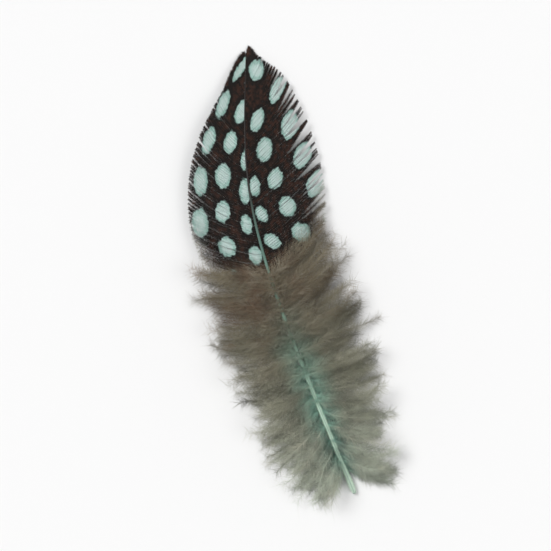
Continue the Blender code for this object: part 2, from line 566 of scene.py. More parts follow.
@dataclass(frozen=True)
class SpotColumn:
    """One row of spots that runs up the vane, in millimetres across from the shaft and along it.

    A spot's form is half its width, half its length and its slant, and changes evenly up the row.
    """

    across: float
    lean: float
    curve: float
    first: float
    pitch: float
    count: int
    first_form: tuple[float, float, float]
    last_form: tuple[float, float, float]
    drift_along: float = 0.6
    drift_across: float = 0.4
    size_spread: float = 0.2
    slant_spread: float = 0.2

    def distance(self, sheet: Sheet, across: Term, along: Term, seed: float) -> Term:
        """How far a place lies outside the nearest spot's edge.

        Args:
            sheet: The material's sheet.
            across: The place's distance across from the shaft.
            along: Its distance along the shaft.
            seed: Tells this row's chances from the others'.

        Returns:
            The distance in millimetres, below 0 inside a spot.
        """
        index = ((along - self.first) / self.pitch).rounded().most(0.0).least(self.count - 1.0)

        def luck(kind: Chance) -> Term:
            """A number from -0.5 to 0.5 that belongs to the spot."""
            return sheet.chance(index + (seed + kind.value)) - 0.5

        size = 1.0 + self.size_spread * luck(Chance.SIZE)
        rise = index * self.pitch
        above = along - self.first - rise + luck(Chance.ALONG) * self.drift_along
        steps = max(self.count - 1, 1)
        half_width, half_length, slant = (
            index * ((last - first) / steps) + first for first, last in zip(self.first_form, self.last_form)
        )
        slant = slant + luck(Chance.SLANT) * self.slant_spread
        centre = self.across + rise * self.lean + rise * rise * self.curve
        aside = across - centre - slant * above + luck(Chance.ACROSS) * self.drift_across
        first_part = aside / (size * half_width)
        second_part = above / (size * half_length)
        radius = (first_part * first_part + second_part * second_part) ** 0.5
        return (radius - 1.0) * self.first_form[0]


LEFT_SPOTS = (
    SpotColumn(-8.7, 0.141, 0.0088, 47.8, 5.8, 5, (1.25, 1.90, 0.10), (0.65, 2.10, 0.45)),
    SpotColumn(-5.5, 0.0, 0.0072, 38.1, 5.2, 6, (1.40, 1.45, 0.00), (1.05, 2.00, 0.20)),
    SpotColumn(-1.45, 0.0, 0.0055, 40.85, 5.16, 4, (1.05, 1.50, 0.05), (0.75, 2.10, 0.15)),
)
RIGHT_SPOTS = (
    SpotColumn(12.5, -0.33, 0.0, 44.9, 5.65, 5, (1.80, 2.20, 0.35), (0.95, 2.20, 0.20)),
    SpotColumn(6.5, -0.229, 0.0, 42.4, 5.0, 5, (1.40, 1.70, 0.00), (1.10, 2.05, 0.25)),
    SpotColumn(1.7, -0.0455, -0.0058, 42.3, 4.7, 3, (1.20, 1.35, -0.30), (0.80, 1.50, 0.10)),
    SpotColumn(1.9, -0.30, 0.0, 70.6, 5.0, 1, (1.15, 1.60, 0.00), (1.15, 1.60, 0.00)),
)


@dataclass(frozen=True)
class VaneFinish:
    """Dark brown web with black haloes round pale blue-green spots."""

    name: str
    spots: tuple[SpotColumn, ...]
    span_across: float = 40.0
    span_along: float = 50.0
    along_start: float = 30.0
    ground: str = "452c22"
    halo: str = "1b1613"
    spot: str = "c0dcd5"
    spot_deep: str = "9ec5bb"
    spot_pale: str = "dcece8"
    base: str = "7a6853"
    margin: str = "a09683"
    ragged_grain: float = 90.0
    ragged_across: float = 0.5
    uneven_grain: float = 75.0
    uneven_stretch: Pair = (1.0, 1.3)
    ragged_along: float = 0.8
    mottle_grain: float = 60.0
    ground_mottle: Pair = (0.35, 0.7)
    spot_mottle: Pair = (0.3, 0.75)
    halo_edge: Pair = (0.25, 0.95)
    spot_edge: Pair = (-0.14, 0.1)
    pale_middle: Pair = (-0.15, -0.75)
    pale_strength: float = 0.7
    base_fade: Pair = (41.0, 36.0)
    base_dip: float = 0.25
    base_ragged: float = 3.0
    base_strength: float = 0.9
    margin_fade: Pair = (-7.2, -5.0)
    margin_climb: float = 0.35
    margin_ragged: float = 4.0
    margin_strength: float = 0.75
    roughness: float = 0.62
    spot_gloss: float = 0.08
    gloss_edge: Pair = (0.1, -0.1)
    first_seed: float = 7.0
    seed_step: float = 13.0

    def coordinates(self, across: np.ndarray, along: np.ndarray) -> np.ndarray:
        """Pattern coordinates from 0 to 1 for places on the vane.

        Args:
            across: Distances across from the shaft.
            along: Distances along it.

        Returns:
            Two coordinates for each place.
        """
        first = across / self.span_across + 0.5
        second = (along - self.along_start) / self.span_along
        return np.stack([first, second], axis=-1)

    def material(self) -> bpy.types.Material:
        """Makes the finish.

        Returns:
            The material, with the spots at their places on the web.
        """
        sheet = Sheet(self.name)
        vector, first, second = sheet.pattern()
        ragged = sheet.noise(vector, self.ragged_grain, detail=3.0) - 0.5
        stretched = sheet.stretched(vector, *self.uneven_stretch)
        uneven = sheet.noise(stretched, self.uneven_grain, detail=3.0) - 0.5
        across = (first - 0.5) * self.span_across + ragged * self.ragged_across
        along = second * self.span_along + self.along_start + uneven * self.ragged_along
        edge = None
        for number, column in enumerate(self.spots):
            distance = column.distance(sheet, across, along, self.first_seed + self.seed_step * number)
            edge = distance if edge is None else edge.least(distance)
        mottle = sheet.noise(vector, self.mottle_grain, detail=4.0)
        ground = sheet.blend(mottle.step(*self.ground_mottle), self.halo, self.ground)
        ground = sheet.blend(edge.step(*self.halo_edge), self.halo, ground)
        spot = sheet.blend(mottle.step(*self.spot_mottle), self.spot_deep, self.spot)
        pale = edge.step(*self.pale_middle) * self.pale_strength
        spot = sheet.blend(pale, spot, self.spot_pale)
        colour = sheet.blend(edge.step(*self.spot_edge), spot, ground)
        spread = (across * across) ** 0.5
        faded = (along + ragged * self.base_ragged - spread * self.base_dip).step(*self.base_fade)
        colour = sheet.blend(faded * self.base_strength, colour, self.base)
        worn = (spread + ragged * self.margin_ragged - along * self.margin_climb).step(*self.margin_fade)
        colour = sheet.blend(worn * self.margin_strength, colour, self.margin)
        gloss = edge.step(*self.gloss_edge) * self.spot_gloss
        sheet.feed(Base_Color=colour, Roughness=self.roughness - gloss)
        sheet.fix(Specular_IOR_Level=0.3)
        return sheet.material


@dataclass(frozen=True)
class DownFinish:
    """Grey-brown down: grey-green by the quill, brown-olive by the vane, teal along the shaft, with painted
    glints, painted shade in dark streaks and tufts, and the layer's own painted shade.
    """

    name: str
    brown: float
    shade: float
    at_quill: str = "d9e1cf"
    at_middle: str = "b3b29b"
    at_vane: str = "9f947b"
    brown_colour: str = "86694f"
    teal: str = "a6d9c7"
    pale: str = "e0dcc9"
    dark: str = "27271d"
    streak_scale: Pair = (3.0, 70.0)
    patch_scale: Pair = (2.5, 9.0)
    tuft_scale: Pair = (4.0, 19.0)
    towards_middle: Pair = (0.0, 0.5)
    towards_vane: Pair = (0.45, 0.9)
    brown_patches: Pair = (0.4, 0.6)
    teal_reach: Pair = (0.42, 0.02)
    teal_fade: Pair = (0.95, 0.35)
    teal_strength: float = 0.9
    glints: Pair = (0.5, 0.75)
    glint_fade: Pair = (0.1, 0.7)
    glint_at_quill: float = 0.75
    glint_loss: float = 0.35
    dark_streaks: Pair = (0.5, 0.25)
    streak_shade: float = 0.35
    dark_tufts: Pair = (0.52, 0.3)
    tuft_shade: float = 0.4

    def material(self) -> bpy.types.Material:
        """Makes the finish.

        Returns:
            The material, coloured along each barb and along the shaft.
        """
        sheet = Sheet(self.name)
        vector, along_barb, along_shaft = sheet.pattern()
        streak = sheet.noise(sheet.stretched(vector, *self.streak_scale), 1.0, detail=3.0)
        patch = sheet.noise(sheet.stretched(vector, *self.patch_scale), 1.0, detail=2.0)
        tuft = sheet.noise(sheet.stretched(vector, *self.tuft_scale), 1.0, detail=2.0)
        middle, vane = along_shaft.step(*self.towards_middle), along_shaft.step(*self.towards_vane)
        colour = sheet.blend(middle, self.at_quill, self.at_middle)
        colour = sheet.blend(vane, colour, self.at_vane)
        warm = patch.step(*self.brown_patches) * vane * self.brown
        colour = sheet.blend(warm, colour, self.brown_colour)
        cast = along_barb.step(*self.teal_reach) * along_shaft.step(*self.teal_fade)
        colour = sheet.blend(cast * self.teal_strength, colour, self.teal)
        # Painted highlights: pale glint streaks, strongest towards the quill.
        strength = self.glint_at_quill - along_shaft.step(*self.glint_fade) * self.glint_loss
        colour = sheet.blend(streak.step(*self.glints) * strength, colour, self.pale)
        # Painted shade: dark streaks and tufts, plus the layer's own painted shade.
        shade = streak.step(*self.dark_streaks) * self.streak_shade
        shade = shade + tuft.step(*self.dark_tufts) * self.tuft_shade + self.shade
        colour = sheet.blend(shade, colour, self.dark)
        sheet.feed(Base_Color=colour)
        sheet.fix(Roughness=0.75, Specular_IOR_Level=0.15, Sheen_Weight=0.15, Sheen_Roughness=0.6)
        return sheet.material


@dataclass(frozen=True)
class ShaftFinish:
    """Horn: pale green at the quill, darker towards the vane, with fine lengthwise streaks and a painted
    shade line along its groove.
    """

    name: str
    quill: str = "cfe6d2"
    middle: str = "8fb1a0"
    # Colour of the lengthwise streaks, and also of the painted shade along the groove line.
    streak_and_shade_colour: str = "5f8474"
    vane: str = "58756b"
    rachis: str = "1f1916"
    towards_middle: Pair = (0.12, 0.42)
    towards_vane: Pair = (0.46, 0.58)
    towards_tip: Pair = (0.57, 0.72)
    streak_scale: Pair = (40.0, 6.0)
    streaks: Pair = (0.3, 0.8)
    streak_strength: float = 0.25
    # Where the painted shade lies: a dark line where the rod's surface faces straight up or down, in place of
    # a modelled groove.
    groove: Pair = (0.012, 0.001)
    groove_shade_strength: float = 0.45
    relief: float = 0.3
    relief_depth: float = 0.03
    roughness: float = 0.38
    roughness_spread: float = 0.2

    def material(self) -> bpy.types.Material:
        """Makes the finish.

        Returns:
            The material, coloured along the shaft, with painted shade darkening the line of its groove.
        """
        sheet = Sheet(self.name)
        vector, around, along = sheet.pattern()
        streak = sheet.noise(sheet.stretched(vector, *self.streak_scale), 1.0, detail=3.0)
        # Painted shade: darkens the line where the surface faces straight up or down, standing in for a
        # groove's shadow.
        groove = ((around - 0.5) * (around - 0.5)).step(*self.groove)
        middle = along.step(*self.towards_middle)
        colour = sheet.blend(middle, self.quill, self.middle)
        # Real lengthwise streaks mixed with the painted groove shade.
        streak_and_groove_shade = streak.step(*self.streaks) * self.streak_strength + groove * self.groove_shade_strength
        colour = sheet.blend(streak_and_groove_shade, colour, self.streak_and_shade_colour)
        colour = sheet.blend(along.step(*self.towards_vane), colour, self.vane)
        colour = sheet.blend(along.step(*self.towards_tip), colour, self.rachis)
        bump = {"Strength": self.relief, "Distance": self.relief_depth * MM, "Height": streak}
        relief = sheet.node("ShaderNodeBump", {}, bump)
        roughness = self.roughness + streak * self.roughness_spread
        sheet.feed(Base_Color=colour, Roughness=roughness, Normal=relief)
        sheet.fix(Specular_IOR_Level=0.35)
        return sheet.material


# The pieces.


@dataclass(frozen=True)
class Shaft:
    """Quill and rachis: one tapering round rod. The groove under the rachis is not modelled; its finish
    paints shade along a line instead.
    """

    finish: ShaftFinish
    quill_radius: float = 0.50
    point_radius: float = 0.28
    vane_radius: float = 0.24
    tip_radius: float = 0.07
    vane_start: float = 38.0
    point_length: float = 1.6
    rim: float = 0.1
    opening_depth: float = 0.5
    sides: int = 16
    stations: int = 110
    point_rings: int = 5
    turned: float = 0.45

    def radius(self, distance: float) -> float:
        """How thick the rod is.

        Args:
            distance: How far from the quill's end.

        Returns:
            The rod's radius there.
        """
        stations = (0.0, self.vane_start, PATH.length)
        body = float(np.interp(distance, stations, (self.quill_radius, self.vane_radius, self.tip_radius)))
        blunt = min(distance / self.point_length, 1.0)
        return self.point_radius + (body - self.point_radius) * math.sin(blunt * math.pi / 2)

    def build(self) -> bpy.types.Object:
        """Lofts the rod through its rings and gives it pattern coordinates.

        Returns:
            The new piece.
        """
        bm = bmesh.new()
        layer = bm.loops.layers.uv.new(UV_NAME)
        near = np.linspace(0.0, self.point_length, self.point_rings, endpoint=False)
        distances = np.concatenate([near, np.linspace(self.point_length, PATH.length, self.stations)])
        points, forwards, rights = PATH.point(distances), PATH.forward(distances), PATH.right(distances)
        loops = []
        for distance, point, forward, right in zip(distances, points, forwards, rights):
            radius = self.radius(float(distance))
            axes = np.stack([right * radius, np.cross(right, forward) * radius, forward], axis=1)
            matrix = Matrix.Translation(Vector(point) * MM) @ (Matrix(axes.tolist()) * MM).to_4x4()
            made = bmesh.ops.create_circle(bm, segments=self.sides, radius=1.0, matrix=matrix)
            loops.append(list({edge for vert in made["verts"] for edge in vert.link_edges}))
        for first, second in zip(loops, loops[1:]):
            bmesh.ops.bridge_loops(bm, edges=first + second)
        caps = bmesh.ops.holes_fill(bm, edges=loops[0] + loops[-1], sides=self.sides)["faces"]
        bmesh.ops.recalc_face_normals(bm, faces=bm.faces)
        opening = [face for face in caps if face.calc_center_median().y < 0]
        bmesh.ops.inset_region(bm, faces=opening, thickness=self.rim * MM)
        inward = Vector(forwards[0]) * self.opening_depth * MM
        bmesh.ops.translate(bm, verts=opening[0].verts, vec=inward)
        bm.normal_update()
        ends = PATH.points[0, 1], PATH.points[-1, 1]
        for face in bm.faces:
            face.smooth = True
            for loop in face.loops:
                along = (loop.vert.co.y / MM - ends[0]) / (ends[1] - ends[0])
                around = 0.5 + loop.vert.normal.x * self.turned
                loop[layer].uv = (around, along)
        mesh = bpy.data.meshes.new("shaft")
        bm.to_mesh(mesh)
        bm.free()
        return dressed(bpy.data.objects.new("shaft", mesh), self.finish.material())


@dataclass(frozen=True)
class Vane:
    """One side of the closed vane: barbs with barbules on both sides that close to a web.

    Shares run from 0 to 1 up the vane or out along a barb. A pair of numbers is where a change
    starts and ends, and a pair of lifts is for a barbule's root and its end.
    """

    side: Side
    finish: VaneFinish
    longest: float
    rise: float
    fall: float
    base_angle: float
    tip_angle: float
    group_rows: int
    clumping: float
    gathering: float
    seed: int
    tip_cut: float
    start: float = 37.0
    end_share: float = 0.97
    rows: int = 29
    barbs: int = 92
    steps: int = 14
    bend: float = 22.0
    start_share: float = 0.12
    close_share: float = 0.06
    tip_range: Pair = (0.65, 0.95)
    straight_from: float = 0.94
    parted_from: float = 0.5
    clump_chance: float = 0.42
    clump_from: float = 0.45
    clump_most: float = 0.85
    clump_least: float = 0.5
    clump_fade: Pair = (1.0, 0.7)
    half_width: float = 12.0
    clearance: float = 0.25
    arch: float = 0.85
    root_scatter: float = 0.0016
    waviness: float = 0.02
    barb_width: float = 0.040
    barb_height: float = 0.055
    barb_taper: float = 0.75
    barb_lift: float = 0.01
    barb_pattern: float = 0.0008
    barbule_spacing: float = 0.085
    barbule_length: float = 0.52
    barbule_width: float = 0.125
    loose_width: float = 0.040
    barbule_height: float = 0.012
    barbule_pattern: float = 0.0012
    place_scatter: float = 0.002
    outer_width: float = 0.1
    barbule_angle: float = 38.0
    upper_lift: Pair = (0.02, 0.035)
    lower_lift: Pair = (0.0, -0.035)
    length_scatter: float = 0.12
    loose_from: float = 0.55
    loose_shorter: float = 0.35
    end_shorter: float = 0.45
    end_part: Pair = (0.9, 1.0)
    loose_scatter: float = 9.0
    downy_range: Pair = (0.2, 0.02)
    downy_from: float = 0.12
    downy_climb: float = 2.6
    downy_last: float = 0.90
    downy_full: float = 0.95
    downy_longer: float = 2.4
    downy_scatter: float = 14.0
    downy_spread: float = 12.0
    downy_lift: float = 0.45

    def barb_length(self, share: np.ndarray) -> np.ndarray:
        """How long a barb is.

        Args:
            share: How far up the vane the barb's root is, 0 to 1.

        Returns:
            The length in millimetres.
        """

        def shape(at: np.ndarray) -> np.ndarray:
            """The outline's shape, of no particular size."""
            return (at + self.start_share) ** self.rise * (1 + self.close_share - at) ** self.fall

        return self.longest * shape(share) / shape(np.linspace(0, 1, 101)).max()

    def downy(self, share: np.ndarray, at: np.ndarray) -> np.ndarray:
        """How downy a barbule is: 0 in the closed vane, 1 at the ends of the lowest barbs.

        Args:
            share: How far up the vane the barb's root is.
            at: How far along the barb the barbule grows.

        Returns:
            The downiness from 0 to 1.
        """
        closed_up_to = np.minimum(self.downy_from + self.downy_climb * share, self.downy_last)
        return ramp(share, *self.downy_range) * ramp(at, closed_up_to, self.downy_full)

    def rest(self, share: np.ndarray) -> np.ndarray:
        """Each barb's way in the closed vane.

        Args:
            share: How far up the vane each barb's root is, 0 to 1.

        Returns:
            Distance along the shaft and across from it, by barb and step.
        """
        step = self.barb_length(share) * (1 - self.tip_cut * ramp(share, *self.tip_range)) / self.steps
        angle = between((self.base_angle, self.tip_angle), share)
        angle = angle - self.tip_angle * ramp(share, self.straight_from, 1.0)
        bends = self.bend * (0.5 - (np.arange(self.steps) + 0.5) / self.steps)
        heading = np.radians(angle[:, None] + bends[None])
        moves = np.stack([np.cos(heading), np.sin(heading) * self.side.value], axis=-1) * step[:, None, None]
        roots = np.stack([between((self.start, PATH.length), share), 0 * share], axis=-1)
        return np.concatenate([roots[:, None], roots[:, None] + np.cumsum(moves, axis=1)], axis=1)

    def parted(self, share: np.ndarray, along: np.ndarray, rng: np.random.Generator) -> np.ndarray:
        """Each barb's way once the barbs have parted into groups and clumps.

        Args:
            share: How far up the vane each barb's root is.
            along: The steps' shares along a barb.
            rng: The source of chance.

        Returns:
            Distance along the shaft and across from it, by barb and step.
        """
        last_row = self.rows - 1
        first = np.floor(share / self.end_share * last_row / self.group_rows) * self.group_rows
        last = np.minimum(first + self.group_rows, last_row)
        middle = (first + last) / 2 / last_row * self.end_share
        loose = np.clip((along - self.parted_from) / (1 - self.parted_from), 0, 1)[None, :, None]
        way = self.rest(share)
        way = way + (self.rest(middle) - way) * self.gathering * loose
        clump = np.cumsum(rng.random(len(share)) < self.clump_chance)
        centre = np.array([share[clump == number].mean() for number in clump])
        pull = self.clumping * (self.clump_least + rng.random(clump[-1] + 1)[clump])
        pull = pull * ramp(share, *self.clump_fade)
        pull = pull[:, None, None] * ramp(along, self.clump_from, 1.0)[None, :, None]
        return way + (self.rest(centre) - way) * np.clip(pull, 0, self.clump_most)

    def surface(self, way: np.ndarray, lift: np.ndarray | float = 0.0) -> np.ndarray:
        """Places on the arched vane.

        Args:
            way: Distance along the shaft and across from it.
            lift: How far above the vane's middle surface.

        Returns:
            The points.
        """
        along, across = way[..., 0], way[..., 1]
        spine = PATH.point(along)
        points = spine + PATH.right(along) * across[..., None]
        crown = np.maximum(spine[..., 2], self.clearance)
        fall = self.arch * np.minimum((across / self.half_width) ** 2, 1.0)
        points[..., 2] = self.clearance + (crown - self.clearance) * (1 - fall) + lift
        return points

    def normal(self, way: np.ndarray, small: float = 0.05) -> np.ndarray:
        """The arched vane's upward direction.

        Args:
            way: Distance along the shaft and across from it.
            small: How far apart the surface is read.

        Returns:
            The direction at each place.
        """
        here = self.surface(way)
        ahead = self.surface(way + np.array([small, 0.0])) - here
        aside = self.surface(way + np.array([0.0, small])) - here
        return unit(np.cross(aside, ahead))

    def build(self) -> bpy.types.Object:
        """Grows the barbs and their barbules as one piece.

        Returns:
            The new piece.
        """
        rng = np.random.default_rng(self.seed)
        share = np.linspace(0.0, self.end_share, self.barbs)
        share = np.clip(share + rng.normal(0, self.root_scatter, self.barbs), 0, 1)
        along = np.linspace(0, 1, self.steps + 1)
        rest = self.rest(share)
        way = self.parted(share, along, rng)
        way[..., 0] += np.cumsum(rng.normal(0, self.waviness, way.shape[:2]), axis=1)
        parts = [self._rami(rest, way, along), self._barbules(share, rest, way, rng)]
        return Growth.joined(parts).piece(f"vane_{self.side.name.lower()}", self.finish.material())

    def _rami(self, rest: np.ndarray, way: np.ndarray, along: np.ndarray) -> Growth:
        """The barbs' own thin ridges.

        Args:
            rest: The barbs' ways in the closed vane, which carry the pattern.
            way: Their parted ways.
            along: The steps' shares along a barb.

        Returns:
            The ridges.
        """
        taper = 1 - self.barb_taper * along
        half_width = np.broadcast_to(self.barb_width * taper, way.shape[:2])
        half_height = np.broadcast_to(self.barb_height * taper, way.shape[:2])
        pattern = self.finish.coordinates(rest[..., 1], rest[..., 0])
        points, level = self.surface(way, self.barb_lift), self.normal(way)
        pattern_width = np.array([self.barb_pattern, 0.0])
        strand = Strand(self.steps + 1)
        return Growth.along(strand, points, level, half_width, half_height, pattern, pattern_width)

    def _barbules(
        self, share: np.ndarray, rest: np.ndarray, way: np.ndarray, rng: np.random.Generator
    ) -> Growth:
        """The barbules along both sides of every barb.

        Args:
            share: How far up the vane each barb's root is.
            rest: The barbs' ways in the closed vane, which carry the pattern.
            way: Their parted ways.
            rng: The source of chance.

        Returns:
            The barbules.
        """
        counts = np.maximum(self.barb_length(share) / self.barbule_spacing, 4).astype(int)
        row, place = spaced(counts)
        total = len(place)
        grown = []
        for hand in (-1, 1):
            at = np.clip(place + rng.normal(0, self.place_scatter, total), 0, 1)
            downy = self.downy(share[row], at)
            loose = np.clip(ramp(at, self.loose_from, 1.0) * self.clumping + downy, 0, 1)
            length = self.barbule_length * (1 - self.loose_shorter * loose)
            length = length * (1 + self.length_scatter * rng.normal(size=total))
            length = length * (1 - self.end_shorter * ramp(at, *self.end_part))
            length = length * (1 + self.downy_longer * downy)
            scatter = (self.loose_scatter * loose + self.downy_scatter * downy) * rng.normal(size=total)
            angle = np.radians(self.barbule_angle + scatter + self.downy_spread * downy) * hand
            closed, parted = (self._reaches(path, row, at, angle, length) for path in (rest, way))
            distal = hand * self.side.value < 0
            lift = np.array([self.upper_lift if distal else self.lower_lift])
            lift = lift + np.stack([0 * downy, self.downy_lift * downy * rng.normal(size=total)], axis=1)
            half = between((self.barbule_width, self.loose_width), loose) / 2
            grown.append(
                Growth.along(
                    Strand(2),
                    self.surface(parted, lift),
                    self.normal(parted),
                    np.stack([half, half * self.outer_width], axis=1),
                    np.full((total, 2), self.barbule_height),
                    self.finish.coordinates(closed[..., 1], closed[..., 0]),
                    np.array([self.barbule_pattern, 0.0]),
                )
            )
        return Growth.joined(grown)

    def _reaches(
        self,
        path: np.ndarray,
        row: np.ndarray,
        at: np.ndarray,
        angle: np.ndarray,
        length: np.ndarray,
    ) -> np.ndarray:
        """Where barbules start and end.

        Args:
            path: The barbs' ways.
            row: Each barbule's barb.
            at: How far along it the barbule grows.
            angle: The barbule's angle from the barb.
            length: Its length.

        Returns:
            Distance along the shaft and across from it, at both ends of every barbule.
        """
        root, ahead = read_along(path, row, at), ahead_along(path, row, at, by=0.04)
        first = ahead[:, 0] * np.cos(angle) - ahead[:, 1] * np.sin(angle)
        second = ahead[:, 0] * np.sin(angle) + ahead[:, 1] * np.cos(angle)
        return np.stack([root, root + np.stack([first, second], axis=-1) * length[:, None]], axis=1)


@dataclass(frozen=True)
class Down:
    """One side and layer of down: barbs in locks, with long soft barbules all along them.

    A pair of numbers gives a value at the near and the far end, or where a change starts and ends.
    """

    side: Side
    layer: Layer
    finish: DownFinish
    seed: int
    barbule_spacing: float
    barbule_stations: int = 3
    crossing: float = 0.0
    covering: float = 0.0
    start: float = 5.5
    end: float = 37.0
    locks: int = 13
    width: float = 3.9
    height: float = 2.5
    root_share: float = 0.09
    tip_share: float = 0.975
    roundness: float = 0.8
    length_at_quill: float = 9.2
    length_at_vane: float = 13.2
    angle_at_quill: float = 133.0
    angle_at_vane: float = 64.0
    angle_fall: float = 1.5
    curl: float = 24.0
    upper_lift: Pair = (38.0, 18.0)
    upper_droop: float = 66.0
    lower_lift: Pair = (2.0, 2.0)
    lower_droop: float = 36.0
    length_scatter: float = 0.12
    angle_scatter: float = 5.0
    lift_scatter: float = 7.0
    width_scatter: float = 0.14
    upper_seed: int = 7
    right_seed: int = 3
    barbs_per_lock: int = 6
    steps: int = 20
    reach: float = 1.25
    turn_scatter: float = 0.8
    outer_shorter: float = 0.10
    barb_spread: Pair = (-0.22, 0.14)
    lock_fill: float = 0.62
    end_fill: float = 0.42
    end_opening: Pair = (0.5, 1.0)
    straying: float = 0.9
    waves: tuple[Pair, ...] = ((0.22, 7.0), (0.05, 17.0))
    shaft_radius: float = 0.3
    crossing_range: Pair = (14.0, 26.0)
    crossed_reach: float = 3.4
    crossed_rise: float = 0.35
    barb_half: float = 0.055
    barb_taper: float = 0.8
    barb_pattern: float = 0.002
    barbule_length: float = 1.5
    barbule_half: Pair = (0.024, 0.014)
    barbule_taper: float = 0.4
    barbule_pattern: float = 0.0015
    barbule_crowding: float = 0.75
    place_scatter: float = 0.003
    roll_scatter: float = 0.75
    barb_roll: float = 0.5
    barbule_angle: float = 60.0
    barbule_scatter: float = 9.0
    barbule_closing: float = 6.0
    root_length: float = 0.8
    root_part: Pair = (0.0, 0.2)
    outer_length: float = 0.9
    outer_part: Pair = (0.6, 1.0)
    end_length: float = 1.2
    end_part: Pair = (0.85, 1.0)
    barbule_spread: float = 0.22
    spread_limits: Pair = (0.4, 1.6)
    clear_of_quill: float = 0.3
    clearing: Pair = (0.7, 0.35)
    covering_reach: Pair = (0.2, 0.02)
    covering_from: Pair = (0.35, 0.6)
    cover_scatter: float = 0.7
    cover_rise: float = 0.35
    cover_bend: float = 1.5
    bend: float = 0.32
    bend_ahead: Pair = (0.7, 0.4)
    bend_scatter: float = 0.4
    sag: float = 0.15
    pattern_start: float = 0.02
    pattern_span: float = 0.96
    pattern_reach: float = 0.02
    pattern_aside: float = 0.006

    def scatter(self, turn: float) -> np.ndarray:
        """An evenly scattered number from -1 to 1 for each lock.

        Args:
            turn: How far the number moves on from lock to lock.

        Returns:
            The numbers.
        """
        seed = np.arange(self.locks) + self.layer.value * self.upper_seed
        seed = seed + (self.right_seed if self.side is Side.RIGHT else 0)
        return 2 * ((seed * turn) % 1.0) - 1

    def fullness(self, along: np.ndarray) -> np.ndarray:
        """A lock's thickness along its length, 1 at its fullest."""
        place = between((self.root_share, self.tip_share), np.clip(along, 0, 1))
        return np.sin(math.pi * place) ** self.roundness

    def axes(self) -> tuple[np.ndarray, np.ndarray, np.ndarray]:
        """The locks' middle lines.

        Returns:
            The points by lock and step, the locks' widths, and their distances along the shaft.
        """
        first, second = self.scatter(GOLDEN_SHARE), self.scatter(SILVER_SHARE)
        share = (np.arange(self.locks) + 0.5 * self.layer.value) / (self.locks - 0.5)
        distance = between((self.start, self.end), share)
        length = between((self.length_at_quill, self.length_at_vane), np.sqrt(share))
        length = length * (1 + self.length_scatter * first)
        angle = between((self.angle_at_vane, self.angle_at_quill), (1 - share) ** self.angle_fall)
        angle = angle + self.angle_scatter * second
        if self.layer is Layer.UPPER:
            lift = between(self.upper_lift, share) + self.lift_scatter * second
            droop = self.upper_droop
        else:
            lift, droop = between(self.lower_lift, share), self.lower_droop
        forward, right = PATH.forward(distance), PATH.right(distance) * self.side.value
        forward = unit(forward * np.array([1, 1, 0]))
        along = (np.arange(self.steps) + 0.5) / self.steps * self.reach
        heading = np.radians(angle[:, None] + self.curl * (0.5 - along))[..., None]
        rise = np.radians(lift[:, None] - droop * along)[..., None]
        level = forward[:, None] * np.cos(heading) + right[:, None] * np.sin(heading)
        moves = (level * np.cos(rise) + UP * np.sin(rise)) * (length * self.reach / self.steps)[:, None, None]
        roots = PATH.point(distance)[:, None]
        points = np.concatenate([roots, roots + np.cumsum(moves, axis=1)], axis=1)
        return points, self.width * (1 + self.width_scatter * second), distance

    def barb_paths(self, rng: np.random.Generator) -> tuple[np.ndarray, np.ndarray]:
        """The way of every barb.

        Args:
            rng: The source of chance.

        Returns:
            The points by barb and step, and each root's distance along the shaft.
        """
        axis, width, distance = self.axes()
        count = self.barbs_per_lock
        lock = np.repeat(np.arange(self.locks), count)
        number = np.tile(np.arange(count), self.locks)
        total = len(lock)
        turn = number * GOLDEN_ANGLE + rng.random(total) * self.turn_scatter
        radius = np.sqrt((number + 0.5) / count)
        length = 1.0 - self.outer_shorter * radius + rng.uniform(*self.barb_spread, total)
        share = np.linspace(0, 1, self.steps + 1)[None] * np.minimum(length, self.reach)[:, None]
        rows = np.repeat(lock, self.steps + 1)
        points = read_along(axis, rows, share.reshape(-1) / self.reach).reshape(total, -1, 3)
        across, upward = beside(unit(np.gradient(points, axis=1)), UP)
        open_end = self.end_fill * ramp(share, *self.end_opening)
        spread = np.maximum(self.fullness(share) * self.lock_fill, open_end)
        wide = (np.cos(turn) * radius * width[lock] / 2)[:, None] * spread
        high = (np.sin(turn) * radius * self.height / 2)[:, None] * spread
        stray = rng.normal(0, 1, total)[:, None] * share + rng.normal(0, 1, total)[:, None] * share**2
        phase = rng.uniform(0, 2 * math.pi, (total, 2, 1))
        wave = sum(
            size * share * np.sin(share * pace + phase[:, k]) for k, (size, pace) in enumerate(self.waves)
        )
        wide = wide + self.straying * stray + wave
        slide = (number - (count - 1) / 2) * (self.end - self.start) / (self.locks * count)
        roots = self._root_shift(distance[lock], slide, rng)[:, None] * ((1 - share) ** 3)[..., None]
        points = points + across * wide[..., None] + upward * (high + wave / 2)[..., None] + roots
        return points, distance[lock] + slide

    def _root_shift(self, distance: np.ndarray, slide: np.ndarray, rng: np.random.Generator) -> np.ndarray:
        """How the barbs' roots move to the shaft's side, or across it where they lie over it.

        Args:
            distance: The distance along the shaft of each barb's lock.
            slide: How far up the shaft from there the barb's root is.
            rng: The source of chance.

        Returns:
            The way from the shaft's centreline to each root.
        """
        crossed = rng.random(len(distance)) < self.crossing * ramp(distance, *self.crossing_range)
        aside = self.side.value * self.shaft_radius * np.where(crossed, -self.crossed_reach, 1.0)
        rise = np.where(crossed, self.crossed_rise, 0.0)
        level = PATH.forward(distance) * slide[:, None] + PATH.right(distance) * aside[:, None]
        return level + UP * rise[:, None]

    def build(self) -> bpy.types.Object:
        """Grows the barbs and their barbules as one piece.

        Returns:
            The new piece.
        """
        rng = np.random.default_rng(self.seed)
        paths, root = self.barb_paths(rng)
        share = (root - self.start) / (self.end - self.start)
        parts = [self._rami(paths, share), self._barbules(paths, share, rng)]
        name = f"down_{self.side.name.lower()}_{self.layer.name.lower()}"
        return Growth.joined(parts).piece(name, self.finish.material())

